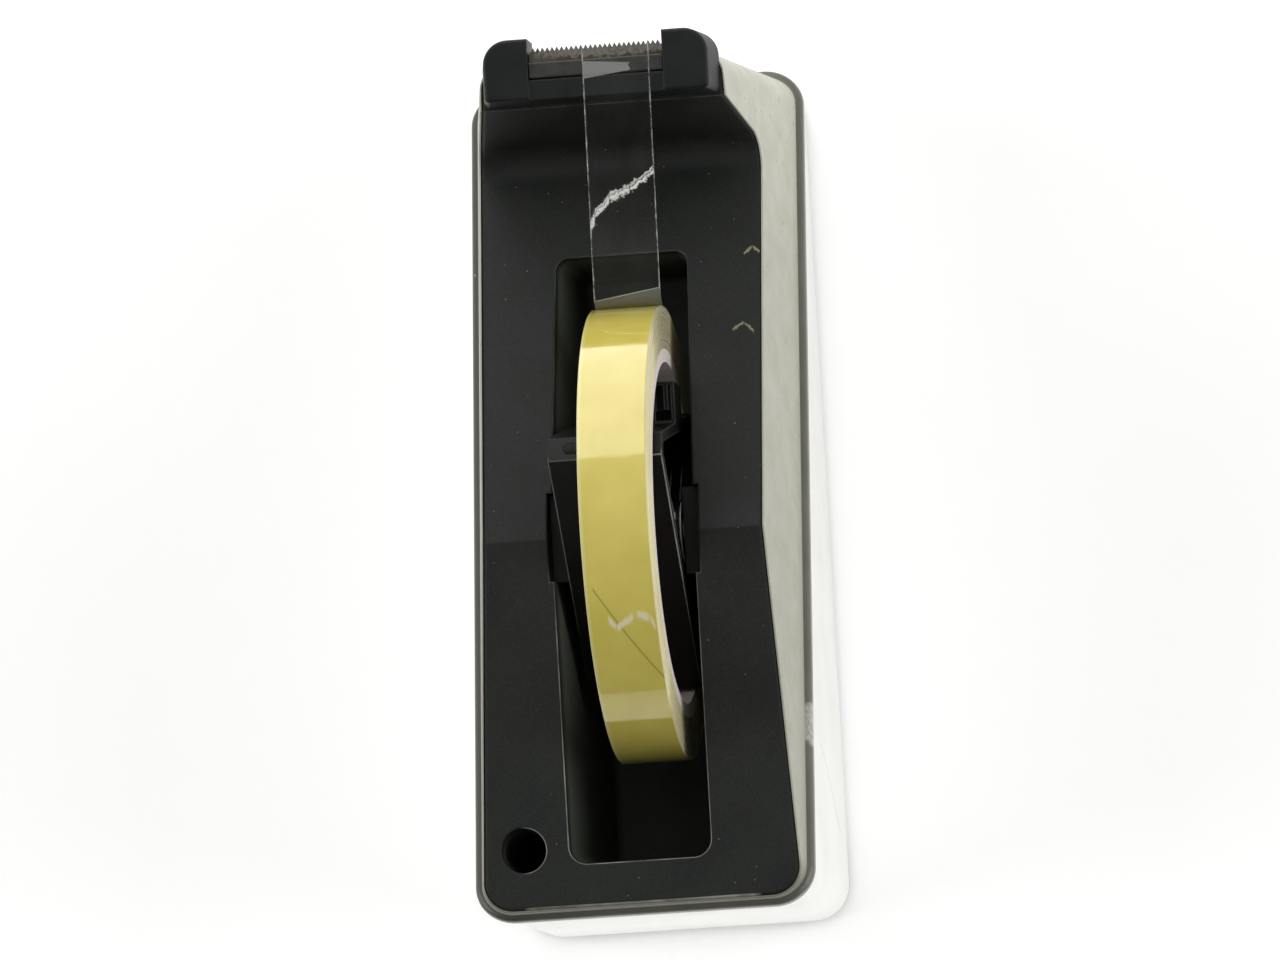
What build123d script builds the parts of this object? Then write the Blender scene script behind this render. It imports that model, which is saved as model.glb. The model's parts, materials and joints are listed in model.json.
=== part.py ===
"""Weighted desk dispenser for 15 mm adhesive tape on a 76 mm core.

Frame: +Z up, the blade faces -Y, millimetres. The origin is on the desk,
under the middle of the whole dispenser.
"""
from build123d import *

import os
from math import atan2, cos, degrees, radians, sin, sqrt, tan

# ---- Housing, over the trim band ----
band_length = 194.0  # front to rear
band_width = 76.0  # side to side
corner_radius = 9.0  # plan corners
nose_overhang = 2.4  # the horns reach this far ahead of the band
wall = 2.2  # moulded walls

# ---- Trim band, a bead that climbs from front to rear ----
band_front_height = 12.5  # centre line of the bead at the front
band_rear_height = 82.2  # centre line of the bead at the rear
bead_height = 4.6
bead_proud = 0.8  # stands out from the lower housing
shoulder = 1.6  # stands out from the upper housing
bead_rounding = 1.5
tongue_height = 2.0  # locating tongue inside each housing
tongue_thickness = 1.2
tongue_clearance = 0.4

# ---- Lower housing, ballast and foot ----
mat_thickness = 1.5
mat_inset = 1.6
lower_taper = 0.6  # the foot is this much narrower than the rim on each side
floor_thickness = 2.5
boss_diameter = 9.5
boss_height = 8.0
ballast_height = 36.0
ballast_side_margin = 8.0  # from the side of the band
ballast_draft = 2.0
ballast_clearance = 0.6
ballast_end_gap = 2.2

# ---- Upper housing and deck ----
side_draft = 8.4
tower_corner_radius = 5.0  # plan corners where the tower ends
rim_width = 0.4  # edge of the upper housing round the deck
deck_height = 86.0  # level rear half
crease_back = 109.5  # from the front of the band to the crease
ramp_angle = 21.7
valley_back = 20.0
valley_radius = 6.0
tower_foot_angle = 74.0  # steep face between the valley and the nose cap
deck_thickness = 2.2
deck_edge_rounding = 1.0
well_rim_rounding = 0.4
top_face_area = 60.0  # smaller level faces belong to the slots

# ---- Well for the roll ----
well_front_gap = 14.9  # from the roll to the front wall, at the height of the deck
well_rear_margin = 11.9  # from the rear wall to the rear of the band
well_floor_gap = 4.0  # under the roll
well_width = 31.8
well_draft = 2.5
well_corner_radius = 4.0
well_floor_radius = 2.0
slot_width = 20.0
slot_depth = 1.0  # below the wall of the well, at the deck
slot_pad = 1.6  # thickening behind each slot

# ---- Pen socket ----
pen_diameter = 10.0
pen_side_margin = 12.0  # from the side of the band
pen_rear_margin = 15.7  # from the rear of the band
pen_depth = 58.0
pen_wall = 1.6

# ---- Screw posts under the deck ----
post_diameter = 7.0
front_post_side_margin = 13.0  # from the side of the band
front_post_back = 31.0
rear_post_side_margin = 11.0
rear_post_margin = 34.0  # from the rear of the band
screw_diameter = 3.0
screw_head_diameter = 5.6
screw_head_height = 2.2
screw_grip = 12.0  # length of screw in the post
screw_clearance = 0.2

# ---- Nose cap and blade ----
tower_height = 87.5
cap_height = 10.0
cap_length = 13.9
cap_inset = 0.4  # the cap is this much inside the tower wall
horn_radius = 5.5
cap_rear_radius = 1.2
cap_edge_rounding = 0.8
notch_width = 30.3
channel_drop = 0.6  # the middle of the cap lies this far below the horns
blade_thickness = 0.6
blade_back = 2.0  # tips of the teeth behind the horns
blade_length = 6.9
blade_side_gap = 0.15
tooth_pitch = 1.08
tooth_depth = 1.0
blade_ledge_back = 3.4  # front of the shelf that carries the blade
clamp_front_back = 5.4
clamp_length = 3.6
clamp_thickness = 1.5
clamp_gap = 0.35  # dark line between the clamp and the cap
peg_diameter = 2.0
clamp_rounding = 0.4
peg_spacing = 22.0
peg_height = 1.0  # above the blade
peg_root = 1.0  # sunk in the cap
peg_clearance = 0.1
nose_screw_front_gap = 0.6  # between the screw heads and the front wall
nose_screw_side_gap = 1.9  # between the screw heads and the side walls
nose_screw_grip = 7.0

# ---- Reel: axle, hub, core and tape ----
axle_back = 109.0
axle_height = 75.5
axle_diameter = 6.0
running_clearance = 0.05
block_clearance = 0.3
block_rise = 4.0  # flat top of the end block above the axle
axle_entry = 3.0  # depth of the axle in each end block
axle_chamfer = 0.4
core_inner_diameter = 76.2
core_thickness = 3.0
tape_diameter = 101.5
tape_width = 15.0
tape_offset = 3.3  # the roll has crept this far along the hub
core_clearance = 0.25
hub_width = 25.4
hub_wall = 2.4
pad_width = 6.0
pad_tilt = 27.5  # the top pad leans towards the blade
pad_spread = 147.0  # from the top pad round to the rear pad, across the long flat face
hub_boss_diameter = 14.0
hub_web_thickness = 2.2
hub_web_depth = 4.0  # the web lies this deep in each side of the hub
hub_rib_thickness = 1.8
hub_rib_height = 2.6
latch_reach = 33.4  # front of the latch that locks the halves, from the axle
latch_root = 18.0  # it runs back to here, into the rim
latch_top = 5.5  # above the axle
latch_height = 11.5
latch_width = 5.2
latch_wall = 0.8
latch_recess = 1.6
latch_recess_length = 5.6
latch_rib = 1.0
latch_rib_inset = 1.4
latch_hole_length = 2.4
latch_hole_depth = 5.0
grip_diameter = 3.4
grip_length = 19.0
grip_stand = 0.7  # the grip ribs stand this much proud of the pads
grip_chamfer = 0.9
strip_thickness = 0.3
strip_clearance = 0.3
strip_rise = 9.0  # the tape leaves the roll this far above the axle
strip_past_blade = 0.6

# ---- Places worked out from the sizes ----
front_y = (nose_overhang - band_length) / 2
rear_y = front_y + band_length
mid_y = (front_y + rear_y) / 2
slope = atan2(band_rear_height - band_front_height, band_length)
band_normal = Axis((0, 0, 0), (0, -sin(slope), cos(slope)))
shell_width = band_width - 2 * bead_proud
shell_length = band_length - 2 * bead_proud
shell_radius = corner_radius - bead_proud
upper_width = band_width - 2 * shoulder
upper_length = band_length - 2 * shoulder
upper_radius = corner_radius - shoulder
floor_bottom = mat_thickness
floor_top = floor_bottom + floor_thickness
crease_y = front_y + crease_back
valley_y = front_y + valley_back
valley_height = deck_height - (crease_back - valley_back) * tan(radians(ramp_angle))
cap_seat = tower_height - cap_height
tower_y = valley_y - (cap_seat - valley_height) / tan(radians(tower_foot_angle))
axle_y = front_y + axle_back
well_front_y = axle_y - tape_diameter / 2 - well_front_gap
well_rear_y = rear_y - well_rear_margin
well_length = well_rear_y - well_front_y
well_y = (well_front_y + well_rear_y) / 2
well_depth = deck_height - (axle_height - tape_diameter / 2 - well_floor_gap)
pen_place = (band_width / 2 - pen_side_margin, rear_y - pen_rear_margin, deck_height)
slot_x = well_width / 2 + slot_depth
nose_y = front_y - nose_overhang
upper_rise = tower_height - band_front_height + band_width / 4  # cut down to the deck later
front_post_x = band_width / 2 - front_post_side_margin
rear_post_x = band_width / 2 - rear_post_side_margin
post_places = [
    (-front_post_x, front_y + front_post_back),
    (front_post_x, front_y + front_post_back),
    (-rear_post_x, rear_y - rear_post_margin),
    (rear_post_x, rear_y - rear_post_margin),
]
boss_top = floor_top + boss_height
screw_seat = boss_top - screw_grip / 4
blade_height = tower_height - channel_drop - clamp_thickness - blade_thickness
clamp_height = blade_height + blade_thickness
clamp_y = nose_y + clamp_front_back + clamp_length / 2
cap_y = nose_y + cap_length / 2
peg_places = [(side * peg_spacing / 2, clamp_y) for side in (-1, 1)]
nose_screw_y = front_y + shoulder + wall + nose_screw_front_gap + screw_head_diameter / 2
first_pad_angle = 90 + pad_tilt
front_pad_turn = (360 - pad_spread) / 2
pad_angles = [first_pad_angle, first_pad_angle + front_pad_turn, first_pad_angle - pad_spread]
tape_x = -tape_offset
core_outer_diameter = core_inner_diameter + 2 * core_thickness
pad_distance = core_inner_diameter / 2 - core_clearance - grip_stand
pad_corner_radius = sqrt(pad_distance**2 + (pad_width / 2) ** 2)
grip_distance = pad_distance + grip_stand - grip_diameter / 2
block_inner_x = hub_width / 2 + block_clearance
block_outer_x = slot_x - block_clearance / 2


def band_height_at(y):
    """Height of the centre line of the trim band at a place along the housing."""
    return band_front_height + (y - front_y) * tan(slope)


def band_plane(y, lift):
    """Plane parallel to the trim band, raised by a height, with its origin at y."""
    height = band_height_at(y) + lift
    return Plane(origin=(0, y, height), x_dir=(1, 0, 0), z_dir=(0, -sin(slope), cos(slope)))


def tower_half_width(y, height):
    """Half the width of the drafted housing at a place and a height."""
    rise = height - band_height_at(y) - bead_height / 2
    return upper_width / 2 - rise * tan(radians(side_draft))


nose_screw_x = tower_half_width(nose_screw_y, cap_seat) - wall
nose_screw_x -= nose_screw_side_gap + screw_head_diameter / 2
nose_screw_places = [(-nose_screw_x, nose_screw_y), (nose_screw_x, nose_screw_y)]


def axle_plane(x):
    """Plane across the axle at a place along it; its x runs to the rear and its y runs up."""
    return Plane(origin=(x, axle_y, axle_height), x_dir=(0, 1, 0), z_dir=(1, 0, 0))


def below_deck(drop):
    """Side view of everything under the deck's surface lowered by a drop."""
    reach = band_length
    with BuildSketch(Plane.YZ) as view:
        with BuildLine():
            Polyline(
                (rear_y + reach, deck_height),
                (crease_y, deck_height),
                (valley_y, valley_height),
                (tower_y, cap_seat),
                (nose_y - reach, cap_seat),
                (nose_y - reach, -reach),
                (rear_y + reach, -reach),
                close=True,
            )
        make_face()
        fillet(view.vertices().sort_by_distance((valley_y, valley_height, 0))[0], valley_radius)
        if drop > 0:
            offset(amount=-drop, kind=Kind.INTERSECTION)
    return view.sketch


def lower_form(inset, bottom):
    """Wedge under the trim band, drawn in by an inset and standing on a bottom height."""
    with BuildPart() as form:
        with BuildSketch(Plane.XY.offset(bottom).move(Location((0, mid_y, 0)))):
            shrink = 2 * (inset + lower_taper)
            RectangleRounded(shell_width - shrink, shell_length - shrink, shell_radius - inset)
        with BuildSketch(band_plane(mid_y, -bead_height / 2)):
            length = (shell_length - 2 * inset) / cos(slope)
            RectangleRounded(shell_width - 2 * inset, length, shell_radius - inset)
        loft()
    return form.part


def upper_form(inset):
    """Drafted form over the trim band, higher than the deck, drawn in by an inset."""
    narrowing = upper_rise * tan(radians(side_draft))
    with BuildPart() as form:
        with BuildSketch(band_plane(mid_y, bead_height / 2)):
            length = (upper_length - 2 * inset) / cos(slope)
            RectangleRounded(upper_width - 2 * inset, length, upper_radius - inset)
        with BuildSketch(band_plane(mid_y - narrowing / 2, bead_height / 2 + upper_rise)):
            length = (upper_length - narrowing - 2 * inset) / cos(slope)
            width = upper_width - 2 * narrowing - 2 * inset
            RectangleRounded(width, length, tower_corner_radius - inset)
        loft()
    return form.part


def well_form(inset, floor_radius):
    """Tapered pocket for the roll, from the height of the deck down, drawn in by an inset."""
    with BuildPart() as form:
        with BuildSketch(Plane((0, well_y, deck_height))):
            radius = well_corner_radius - inset
            RectangleRounded(well_width - 2 * inset, well_length - 2 * inset, radius)
        extrude(amount=-(well_depth - inset), taper=well_draft)
        fillet(form.edges().group_by(Axis.Z)[0], floor_radius)
    return form.part


# ---- Forms that several pieces share ----
upper_outer = upper_form(0)
upper_inner = upper_form(wall)
well_outer = well_form(-wall, well_floor_radius + wall)
well_inner = well_form(0, well_floor_radius)

with BuildPart() as deck_seat:  # room inside the rim, from the underside of the deck up
    add(upper_form(rim_width))
    extrude(below_deck(deck_thickness), amount=band_width, both=True, mode=Mode.SUBTRACT)

# ---- Foot mat: rubber sheet glued under the lower housing ----
with BuildPart() as foot_mat:
    with BuildSketch(Plane((0, mid_y, 0))):
        shrink = 2 * (lower_taper + mat_inset)
        RectangleRounded(shell_width - shrink, shell_length - shrink, shell_radius - mat_inset)
    extrude(amount=mat_thickness)
foot_mat.part.label = "foot_mat"

# ---- Lower housing: open wedge with a floor and four screw bosses ----
with BuildPart() as lower_housing:
    add(lower_form(0, floor_bottom))
    add(lower_form(wall, floor_top), mode=Mode.SUBTRACT)
    with Locations([(x, y, floor_top) for x, y in post_places]):
        Cylinder(boss_diameter / 2, boss_height, align=(Align.CENTER, Align.CENTER, Align.MIN))
    with Locations([(x, y, floor_bottom) for x, y in post_places]):
        Cylinder(
            screw_head_diameter / 2 + screw_clearance,
            screw_seat - floor_bottom,
            align=(Align.CENTER, Align.CENTER, Align.MIN),
            mode=Mode.SUBTRACT,
        )
        Cylinder(
            screw_diameter / 2 + screw_clearance,
            boss_top - floor_bottom,
            align=(Align.CENTER, Align.CENTER, Align.MIN),
            mode=Mode.SUBTRACT,
        )
lower_housing.part.label = "lower_housing"

# ---- Trim band: rounded bead clamped between the housings, with a locating tongue ----
def band_outline(lift, inset, radius):
    """Plan outline of the housing in a plane parallel to the band, drawn in by an inset."""
    with BuildSketch(band_plane(mid_y, lift)) as outline:
        RectangleRounded(band_width - 2 * inset, (band_length - 2 * inset) / cos(slope), radius)
    return outline.sketch


with BuildPart() as trim_band:
    extrude(band_outline(-bead_height / 2, 0, corner_radius), amount=bead_height, dir=(0, 0, 1))
    fillet(trim_band.faces().filter_by(band_normal).edges(), bead_rounding)
    tongue_inset = shoulder + wall + tongue_clearance
    tongue_radius = corner_radius - tongue_inset
    tongue_lift = bead_height / 2 + tongue_height
    tongue = band_outline(-tongue_lift, tongue_inset, tongue_radius)
    extrude(tongue, amount=2 * tongue_lift, dir=(0, 0, 1))
    bore_radius = tongue_radius - tongue_thickness
    bore = band_outline(-tongue_lift, tongue_inset + tongue_thickness, bore_radius)
    extrude(bore, amount=2 * tongue_lift, dir=(0, 0, 1), mode=Mode.SUBTRACT)
    add(deck_seat.part, mode=Mode.SUBTRACT)  # the tongue stops under the deck at the rear
trim_band.part.label = "trim_band"

# ---- Upper housing: drafted shell with a rebate that holds the deck ----
with BuildPart() as upper_housing:
    add(upper_outer)
    extrude(below_deck(0), amount=band_width, both=True, mode=Mode.INTERSECT)
    add(upper_inner, mode=Mode.SUBTRACT)
    add(deck_seat.part, mode=Mode.SUBTRACT)
upper_housing.part.label = "upper_housing"

# ---- Deck: ramped cover with the well, axle slots, pen socket and screw posts ----
with BuildPart() as axle_slots:  # both slots, open at the deck and round at the bottom
    with BuildSketch(axle_plane(-slot_x)):
        Circle(slot_width / 2)
        with Locations((0, deck_height / 2)):
            Rectangle(slot_width, deck_height)
    extrude(amount=2 * slot_x)

with BuildPart() as slot_pads:  # thicker walls behind the slots
    with BuildSketch(axle_plane(-slot_x - slot_pad)):
        Circle(slot_width / 2 + slot_pad)
        with Locations((0, deck_height / 2)):
            Rectangle(slot_width + 2 * slot_pad, deck_height)
    extrude(amount=2 * (slot_x + slot_pad))

def is_deck_top(face):
    """True for the flat, the ramp, the valley and the seat of the nose cap."""
    middle = face.center()
    level = face.normal_at(middle).Z > 0.5 and middle.Z > valley_height - wall
    return level and face.area > top_face_area


def rim_edges(faces):
    """Edges of the deck's top that aren't shared by two of its faces."""
    edges = [edge for face in faces for edge in face.edges()]
    return [edge for edge in edges if edges.count(edge) == 1]


def on_outline(edge):
    """True for an edge that runs round the outside of the deck."""
    middle = edge.center()
    beside = abs(middle.X) > slot_x + slot_pad or middle.Y > well_rear_y
    return beside and not edge.is_closed


def at_opening(edge):
    """True for an edge round the well, a slot or the pen socket."""
    return not on_outline(edge) and edge.center().Y > well_front_y


with BuildPart() as deck:
    add(deck_seat.part)
    add(well_outer)
    add(slot_pads.part)
    with Locations(pen_place):
        Cylinder(
            pen_diameter / 2 + pen_wall,
            pen_depth + pen_wall,
            align=(Align.CENTER, Align.CENTER, Align.MAX),
        )
    with Locations([(x, y, boss_top) for x, y in post_places]):
        Cylinder(
            post_diameter / 2,
            deck_height - boss_top,
            align=(Align.CENTER, Align.CENTER, Align.MIN),
        )
    extrude(below_deck(0), amount=band_width, both=True, mode=Mode.INTERSECT)
    add(well_inner, mode=Mode.SUBTRACT)
    add(axle_slots.part, mode=Mode.SUBTRACT)
    with Locations(pen_place):
        Cylinder(
            pen_diameter / 2,
            pen_depth,
            align=(Align.CENTER, Align.CENTER, Align.MAX),
            mode=Mode.SUBTRACT,
        )
    with Locations([(x, y, boss_top) for x, y in post_places]):
        Cylinder(
            screw_diameter / 2,
            screw_grip,
            align=(Align.CENTER, Align.CENTER, Align.MIN),
            mode=Mode.SUBTRACT,
        )
    with Locations([(x, y, cap_seat) for x, y in nose_screw_places]):
        Cylinder(screw_diameter / 2 + screw_clearance, 3 * deck_thickness, mode=Mode.SUBTRACT)
    outline = rim_edges(deck.faces().filter_by(is_deck_top))
    fillet([edge for edge in outline if on_outline(edge)], deck_edge_rounding)
    openings = rim_edges(deck.faces().filter_by(is_deck_top))
    fillet([edge for edge in openings if at_opening(edge)], well_rim_rounding)
deck.part.label = "deck"


def pan_head_screws(places, head_height_at, tip_height_at):
    """Screws driven upwards: a shank on a wide head, both at each place."""
    with BuildPart() as screws:
        with Locations([(x, y, head_height_at - screw_head_height) for x, y in places]):
            Cylinder(
                screw_head_diameter / 2,
                screw_head_height,
                align=(Align.CENTER, Align.CENTER, Align.MIN),
            )
        with Locations([(x, y, head_height_at) for x, y in places]):
            Cylinder(
                screw_diameter / 2,
                tip_height_at - head_height_at,
                align=(Align.CENTER, Align.CENTER, Align.MIN),
            )
    return screws.part


deck_screws = pan_head_screws(post_places, screw_seat, boss_top + screw_grip)
deck_screws.label = "deck_screws"

# ---- Ballast: cast block on the floor, round the well, the posts and the pen socket ----
with BuildPart() as ballast_block:
    with BuildSketch(Plane((0, mid_y, floor_top))):
        length = shell_length - 2 * (wall + ballast_end_gap)
        width = band_width - 2 * ballast_side_margin
        RectangleRounded(width, length, shell_radius - wall)
    extrude(amount=ballast_height, taper=ballast_draft)
    add(well_form(-wall - ballast_clearance, well_floor_radius + wall), mode=Mode.SUBTRACT)
    hole_bottom = (Align.CENTER, Align.CENTER, Align.MIN)
    with Locations([(x, y, floor_top) for x, y in post_places]):
        radius = boss_diameter / 2 + ballast_clearance
        Cylinder(radius, ballast_height, align=hole_bottom, mode=Mode.SUBTRACT)
    with Locations(pen_place):
        Cylinder(
            pen_diameter / 2 + pen_wall + ballast_clearance,
            pen_depth + pen_wall + ballast_clearance,
            align=(Align.CENTER, Align.CENTER, Align.MAX),
            mode=Mode.SUBTRACT,
        )
ballast_block.part.label = "ballast_block"

# ---- Nose cap: two horns beside the blade, and a channel for the tape ----
with BuildPart() as nose_cap:
    for height in (cap_seat, tower_height):
        half_width = tower_half_width(nose_y, height) - cap_inset
        with BuildSketch(Plane((0, cap_y, height))) as outline:
            Rectangle(2 * half_width, cap_length)
            fillet(outline.vertices().group_by(Axis.Y)[0], horn_radius)
            fillet(outline.vertices().group_by(Axis.Y)[-1], cap_rear_radius)
    loft()
    fillet(nose_cap.faces().sort_by(Axis.Z)[-1].edges(), cap_edge_rounding)
    top_back = (Align.CENTER, Align.MIN, Align.MIN)
    with Locations((0, nose_y - cap_length, cap_seat)):  # the blade overhangs this front cut
        Box(notch_width, cap_length + blade_ledge_back, 2 * cap_height, align=top_back,
            mode=Mode.SUBTRACT)
    with Locations((0, nose_y, blade_height)):  # pocket for the blade and its clamp
        Box(notch_width, clamp_front_back + clamp_length + clamp_gap, cap_height,
            align=top_back, mode=Mode.SUBTRACT)
    with Locations((0, nose_y, tower_height - channel_drop)):
        Box(notch_width, 2 * cap_length, cap_height, align=top_back, mode=Mode.SUBTRACT)
    with Locations([(x, y, blade_height - peg_root) for x, y in peg_places]):
        Cylinder(
            peg_diameter / 2,
            peg_root + blade_thickness + peg_height,
            align=(Align.CENTER, Align.CENTER, Align.MIN),
        )
    with Locations([(x, y, cap_seat) for x, y in nose_screw_places]):
        Cylinder(
            screw_diameter / 2,
            nose_screw_grip,
            align=(Align.CENTER, Align.CENTER, Align.MIN),
            mode=Mode.SUBTRACT,
        )
nose_cap.part.label = "nose_cap"

nose_screws = pan_head_screws(
    nose_screw_places, cap_seat - deck_thickness, cap_seat + nose_screw_grip
)
nose_screws.label = "nose_screws"

# ---- Blade: toothed steel strip on two pegs ----
blade_width = notch_width - 2 * blade_side_gap
tooth_count = int(blade_width / tooth_pitch)
tooth_span = tooth_count * tooth_pitch
tooth_root_y = nose_y + blade_back + tooth_depth
blade_rear_y = nose_y + blade_back + blade_length
with BuildPart() as blade:
    with BuildSketch(Plane.XY.offset(blade_height)):
        with BuildLine():
            teeth = [
                (index * tooth_pitch / 2 - tooth_span / 2, tooth_root_y - tooth_depth * (index % 2))
                for index in range(2 * tooth_count + 1)
            ]
            Polyline(
                (-blade_width / 2, tooth_root_y),
                *teeth,
                (blade_width / 2, tooth_root_y),
                (blade_width / 2, blade_rear_y),
                (-blade_width / 2, blade_rear_y),
                close=True,
            )
        make_face()
        with Locations(peg_places):
            Circle(peg_diameter / 2 + peg_clearance, mode=Mode.SUBTRACT)
    extrude(amount=blade_thickness)
blade.part.label = "blade"

# ---- Blade clamp: landing strip that holds the blade down ----
with BuildPart() as blade_clamp:
    with BuildSketch(Plane((0, clamp_y, clamp_height))):
        Rectangle(blade_width, clamp_length)
    extrude(amount=clamp_thickness)
    fillet(blade_clamp.faces().sort_by(Axis.Z)[-1].edges().filter_by(Axis.X), clamp_rounding)
    with Locations([(x, y, clamp_height) for x, y in peg_places]):
        Cylinder(
            peg_diameter / 2 + peg_clearance,
            peg_height + peg_clearance,
            align=(Align.CENTER, Align.CENTER, Align.MIN),
            mode=Mode.SUBTRACT,
        )
blade_clamp.part.label = "blade_clamp"

# ---- Axle: plain pin in two end blocks that slide down the slots ----
with BuildPart() as axle_shaft:
    with BuildSketch(axle_plane(-block_inner_x - axle_entry)):
        Circle(axle_diameter / 2)
    extrude(amount=2 * (block_inner_x + axle_entry))
    chamfer(axle_shaft.edges().filter_by(GeomType.CIRCLE), axle_chamfer)
axle_shaft.part.label = "axle_shaft"


def end_block(side):
    """Block that carries one end of the axle, round below and flat on top."""
    with BuildPart() as block:
        with BuildSketch(axle_plane(side * block_inner_x)):
            Circle(slot_width / 2 - block_clearance)
            with Locations((0, slot_width / 2)):
                Rectangle(slot_width, slot_width, mode=Mode.SUBTRACT)
            with Locations((0, block_rise / 2)):
                Rectangle(slot_width - 2 * block_clearance, block_rise)
        extrude(amount=side * (block_outer_x - block_inner_x))
        with BuildSketch(axle_plane(side * block_inner_x)):
            Circle(axle_diameter / 2)
        extrude(amount=side * axle_entry, mode=Mode.SUBTRACT)
    return block.part


# ---- Hub: two halves with three pads that carry the core ----
def hub_outline(inset):
    """Triangle cut off at three pads, drawn in by an inset, round the axle."""
    with BuildSketch(axle_plane(0)) as outline:
        half_angle = degrees(atan2(pad_width / 2, pad_distance))
        angles = [pad_angle + side * half_angle for pad_angle in pad_angles for side in (-1, 1)]
        with BuildLine():
            Polyline(
                *[
                    (pad_corner_radius * cos(radians(angle)), pad_corner_radius * sin(radians(angle)))
                    for angle in angles
                ],
                close=True,
            )
        make_face()
        if inset > 0:
            offset(amount=-inset, kind=Kind.INTERSECTION)
    return outline.sketch


with BuildPart() as grips:  # round-ended rubber ribs along the pads
    for pad_angle in pad_angles:
        angle = radians(pad_angle)
        foot = axle_plane(-grip_length / 2)
        centre = foot.from_local_coords((grip_distance * cos(angle), grip_distance * sin(angle)))
        with Locations(Plane(centre, z_dir=(1, 0, 0))):
            Cylinder(
                grip_diameter / 2, grip_length, align=(Align.CENTER, Align.CENTER, Align.MIN)
            )
    chamfer(grips.edges().filter_by(GeomType.CIRCLE), grip_chamfer)


def latch_box(width, length, depth, side_inset=0, front_inset=0, mode=Mode.ADD):
    """Box hung from the top of the latch, drawn in from the latch's outer front corner."""
    corner = (side_inset - hub_width / 2, axle_y - latch_reach + front_inset, axle_height + latch_top)
    with Locations(corner):
        Box(width, length, depth, align=(Align.MIN, Align.MIN, Align.MAX), mode=mode)


def hub_half(side, latched=False):
    """Half of the hub: rim, web, boss and ribs, open at the middle and recessed outside."""
    half = hub_width / 2
    web_outer = half - hub_web_depth
    web_inner = web_outer - hub_web_thickness
    with BuildPart() as hub:
        extrude(hub_outline(0), amount=side * half)
        if latched:
            inner = latch_width - 2 * latch_wall
            latch_box(latch_width, latch_reach - latch_root, latch_height)
            latch_box(
                inner, latch_recess_length, latch_recess, latch_wall, latch_wall, Mode.SUBTRACT
            )
            latch_box(latch_rib, latch_recess_length, latch_recess, latch_rib_inset, latch_wall)
            hole_front = latch_wall + latch_recess_length
            latch_box(
                inner, latch_hole_length, latch_hole_depth, latch_wall, hole_front, Mode.SUBTRACT
            )
        extrude(hub_outline(hub_wall), amount=side * half, mode=Mode.SUBTRACT)
        web = hub_outline(hub_wall).moved(Location((side * web_inner, 0, 0)))
        extrude(web, amount=side * hub_web_thickness)
        with BuildSketch(axle_plane(0)):
            Circle(hub_boss_diameter / 2)
        extrude(amount=side * half)
        for pad_angle in pad_angles:
            with BuildSketch(axle_plane(side * web_outer)):
                with Locations(Location((0, 0), pad_angle)):
                    with Locations((pad_distance / 2, 0)):
                        Rectangle(pad_distance - hub_wall, hub_rib_thickness)
            extrude(amount=side * hub_rib_height)
        with BuildSketch(axle_plane(0)):
            Circle(axle_diameter / 2 + running_clearance)
        extrude(amount=side * half, mode=Mode.SUBTRACT)
        add(grips.part, mode=Mode.SUBTRACT)
    return hub.part


# ---- Roll: card core and wound tape, and the length drawn out to the blade ----
def roll_ring(outer_diameter, inner_diameter):
    """Ring of the roll's width, round the axle."""
    with BuildPart() as ring:
        with BuildSketch(axle_plane(tape_x - tape_width / 2)):
            Circle(outer_diameter / 2)
            Circle(inner_diameter / 2, mode=Mode.SUBTRACT)
        extrude(amount=tape_width)
    return ring.part


with BuildPart() as tape_strip:
    peel_y = axle_y - sqrt((tape_diameter / 2) ** 2 - strip_rise**2) - strip_clearance
    peel_height = axle_height + strip_rise
    landing_height = tower_height - channel_drop + strip_clearance
    landing_y = cap_y + cap_length / 2
    strip_end_y = nose_y + blade_back - strip_past_blade
    with BuildSketch(Plane.YZ.offset(tape_x - tape_width / 2)):
        with BuildLine():
            Polyline(
                (peel_y, peel_height),
                (landing_y, landing_height),
                (strip_end_y, landing_height),
                (strip_end_y, landing_height + strip_thickness),
                (landing_y, landing_height + strip_thickness),
                (peel_y, peel_height + strip_thickness),
                close=True,
            )
        make_face()
    extrude(amount=tape_width)
tape_strip.part.label = "tape_strip"

# ---- Pieces, one file for each ----
pieces = {
    "foot_mat": foot_mat.part,
    "lower_housing": lower_housing.part,
    "ballast_block": ballast_block.part,
    "trim_band": trim_band.part,
    "upper_housing": upper_housing.part,
    "deck": deck.part,
    "deck_screws": deck_screws,
    "nose_cap": nose_cap.part,
    "nose_screws": nose_screws,
    "blade": blade.part,
    "blade_clamp": blade_clamp.part,
    "axle_shaft": axle_shaft.part,
    "axle_block_left": end_block(1),
    "axle_block_right": end_block(-1),
    "hub_left": hub_half(1),
    "hub_right": hub_half(-1, latched=True),
    "hub_grips": grips.part,
    "tape_core": roll_ring(core_outer_diameter, core_inner_diameter),
    "tape_roll": roll_ring(tape_diameter, core_outer_diameter),
    "tape_strip": tape_strip.part,
}
os.makedirs("parts", exist_ok=True)
for name, piece in pieces.items():
    piece.label = name
    export_step(piece, f"parts/{name}.step")
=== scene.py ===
"""Looks of the weighted desk tape dispenser: finishes, clear film, wound roll and studio."""

import json
import math

import bmesh
import bpy
from mathutils import Matrix, Vector, noise

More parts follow.
